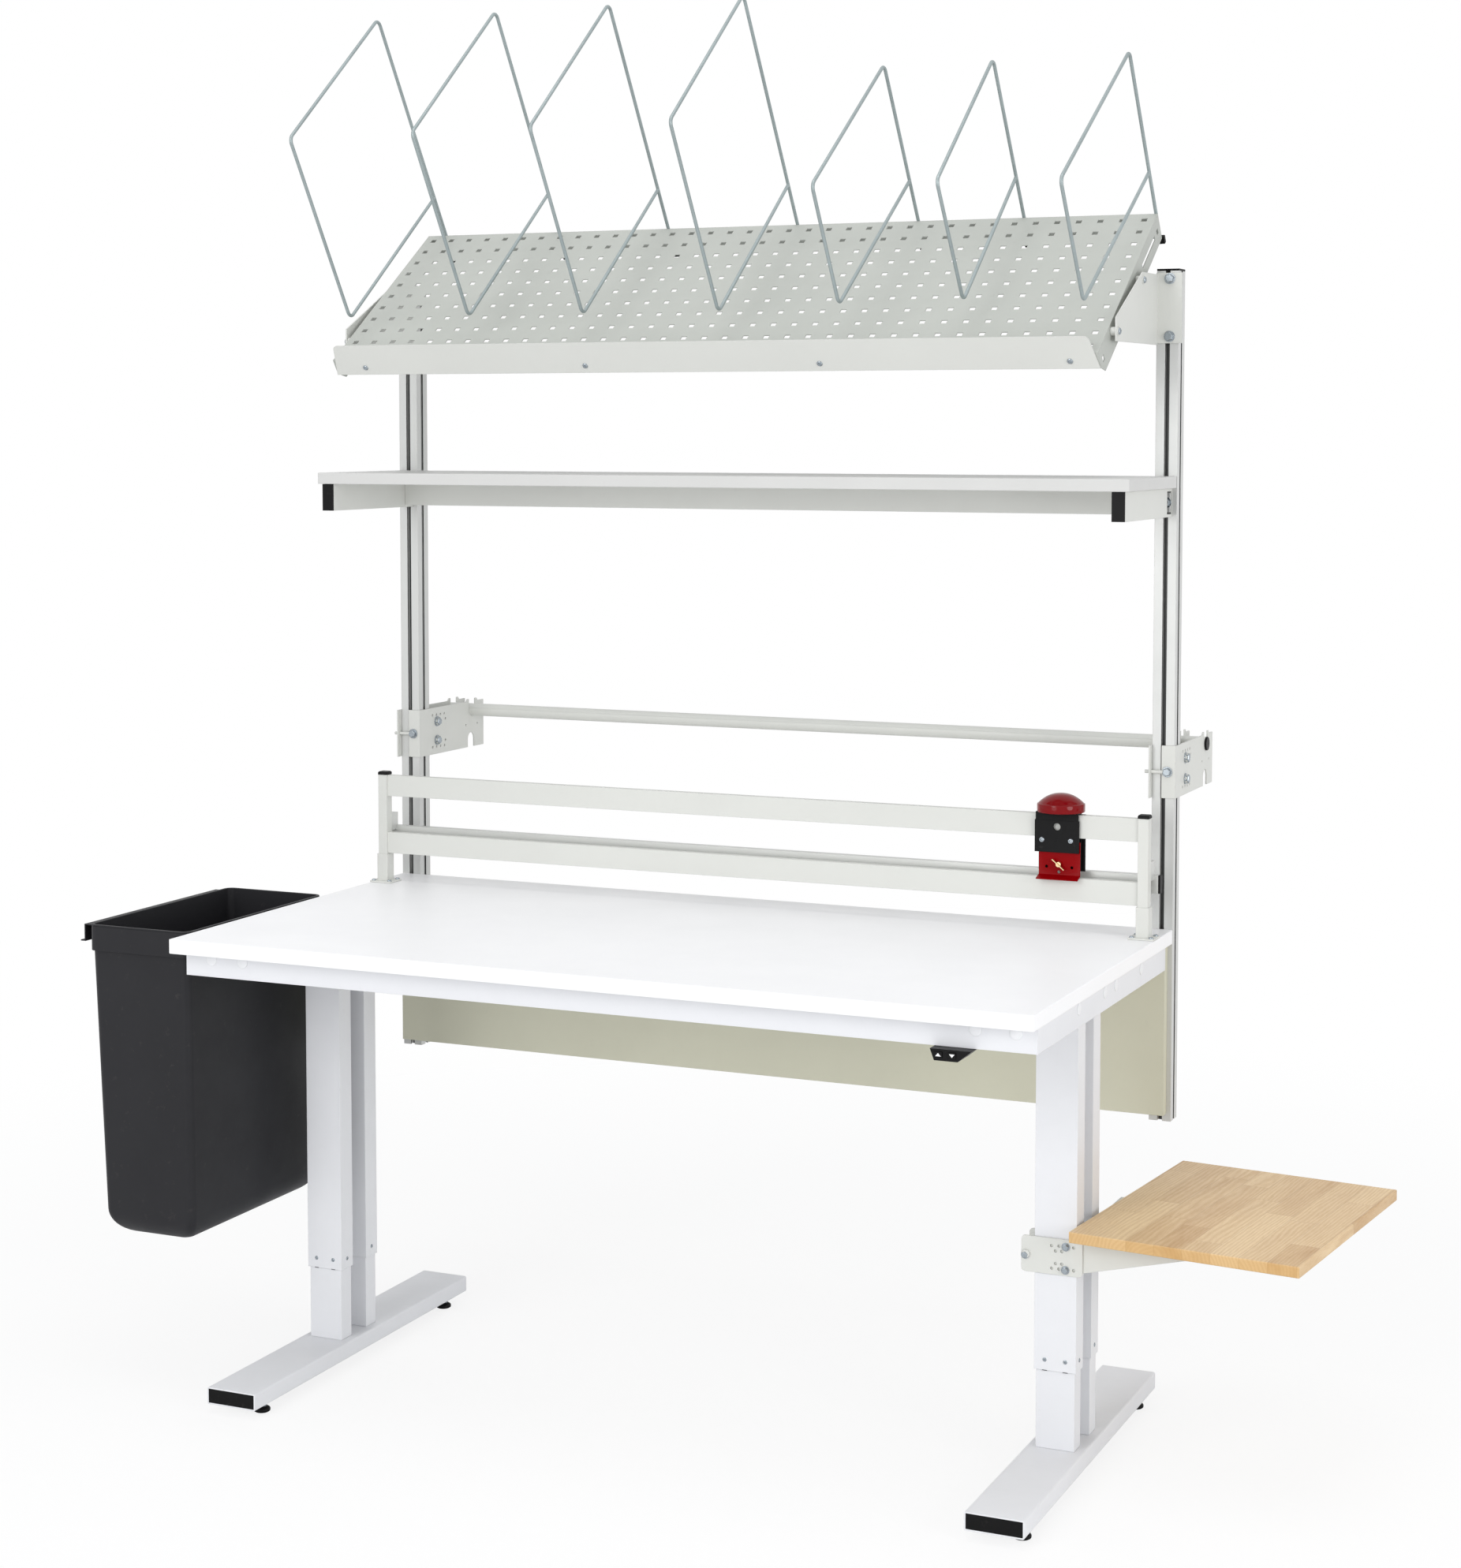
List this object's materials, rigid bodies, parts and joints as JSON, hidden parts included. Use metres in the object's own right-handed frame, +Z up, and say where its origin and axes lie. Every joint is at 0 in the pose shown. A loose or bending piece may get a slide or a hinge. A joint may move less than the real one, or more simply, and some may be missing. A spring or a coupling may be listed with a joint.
{
  "type": "packing table",
  "caption": "Height-adjustable packing table with slotted posts, an upper shelf, a tilted punched shelf with wire dividers, a film cutter, roll holders, a waste bin and a side board.",
  "frame": {"origin": "on the floor, under the middle of the whole object's box", "axes": "+Z up, +X to the user's right along the worktop, +Y from the user towards the posts"},
  "size_m": [2.124, 1.005, 2.3941],
  "materials": {
    "aluminium": "clear-anodised, drawn along its length",
    "bin_plastic": "fine-grained black, slightly glossy",
    "black_plastic": "fine-grained black",
    "brass": "plain turned brass",
    "grey_board": "light grey melamine facing on board",
    "grey_steel": "fine-textured light grey powder coat",
    "panel": "matt pale grey-beige laminate on board",
    "punched_steel": "matt light grey powder coat on punched sheet",
    "red": "glossy deep red",
    "white_steel": "fine-textured white powder coat",
    "white_top": "satin white melamine facing on board",
    "wood": "oiled beech, glued staves",
    "zinc": "bright zinc plating"
  },
  "bodies": {
    "base": {"foot_cap_left_front": "black_plastic", "foot_cap_left_rear": "black_plastic", "foot_cap_right_front": "black_plastic", "foot_cap_right_rear": "black_plastic", "foot_left": "white_steel", "foot_right": "white_steel", "inner_tube_left_front": "white_steel", "inner_tube_left_rear": "white_steel", "inner_tube_right_front": "white_steel", "inner_tube_right_rear": "white_steel"},
    "table": {"apron_frame": "white_steel", "back_panel": "panel", "bin_frame": "black_plastic", "board_arm": "grey_steel", "board_clamp": "grey_steel", "cutter_frame": "grey_steel", "cutter_rail": "aluminium", "divider_1": "zinc", "divider_2": "zinc", "divider_3": "zinc", "divider_4": "zinc", "divider_5": "zinc", "divider_6": "zinc", "divider_7": "zinc", "front_lip": "grey_steel", "outer_tube_left_front": "white_steel", "outer_tube_left_rear": "white_steel", "outer_tube_right_front": "white_steel", "outer_tube_right_rear": "white_steel", "post_cap_left": "black_plastic", "post_cap_right": "black_plastic", "post_left": "aluminium", "post_right": "aluminium", "punched_shelf": "punched_steel", "roll_holder_left": "grey_steel", "roll_holder_right": "grey_steel", "shelf_arm_cap_left": "black_plastic", "shelf_arm_cap_right": "black_plastic", "shelf_arm_left": "grey_steel", "shelf_arm_right": "grey_steel", "shelf_beam": "grey_steel", "shelf_board": "grey_board", "side_board": "wood", "switch_housing": "black_plastic", "tilt_bracket_left": "grey_steel", "tilt_bracket_right": "grey_steel", "worktop": "white_top"},
    "glide_left_front": {"glide_left_front": "black_plastic"},
    "glide_left_rear": {"glide_left_rear": "black_plastic"},
    "glide_right_front": {"glide_right_front": "black_plastic"},
    "glide_right_rear": {"glide_right_rear": "black_plastic"},
    "carriage": {"carriage": "black_plastic", "blade_guard": "red", "dome_grip": "red"},
    "wing_screw": {"wing_screw": "brass"},
    "roll": {"roll_tube": "grey_steel", "roll_plug": "black_plastic"},
    "button_up": {"button_up": "black_plastic"},
    "button_down": {"button_down": "black_plastic"},
    "bin": {"bin": "bin_plastic"}
  },
  "joints": [
    {"name": "lift_slide", "type": "slide", "parent": "base", "child": "table", "axis": [0, 0, 1], "range_m": [-0.1, 0.3]},
    {"name": "glide_left_front_turn", "type": "hinge", "parent": "base", "child": "glide_left_front", "pos_m": [-0.71805, -0.395, 0], "axis": [0, 0, 1], "continuous": true},
    {"name": "glide_left_rear_turn", "type": "hinge", "parent": "base", "child": "glide_left_rear", "pos_m": [-0.71805, 0.2235, 0], "axis": [0, 0, 1], "continuous": true},
    {"name": "glide_right_front_turn", "type": "hinge", "parent": "base", "child": "glide_right_front", "pos_m": [0.63295, -0.395, 0], "axis": [0, 0, 1], "continuous": true},
    {"name": "glide_right_rear_turn", "type": "hinge", "parent": "base", "child": "glide_right_rear", "pos_m": [0.63295, 0.2235, 0], "axis": [0, 0, 1], "continuous": true},
    {"name": "carriage_slide", "type": "slide", "parent": "table", "child": "carriage", "axis": [1, 0, 0], "range_m": [-1.25, 0.088]},
    {"name": "wing_screw_turn", "type": "hinge", "parent": "carriage", "child": "wing_screw", "pos_m": [0.51395, 0.1418, 0.937], "axis": [0, 1, 0], "continuous": true},
    {"name": "roll_spin", "type": "hinge", "parent": "table", "child": "roll", "pos_m": [-0.84085, 0.4575, 1.116], "axis": [1, 0, 0], "continuous": true},
    {"name": "button_up_press", "type": "slide", "parent": "table", "child": "button_up", "axis": [0, 1, 0], "range_m": [0, 0.001], "stiffness_N_per_m": 300},
    {"name": "button_down_press", "type": "slide", "parent": "table", "child": "button_down", "axis": [0, 1, 0], "range_m": [0, 0.001], "stiffness_N_per_m": 300},
    {"name": "bin_lift", "type": "slide", "parent": "table", "child": "bin", "axis": [0, 0, 1], "range_m": [0, 0.3]}
  ]
}
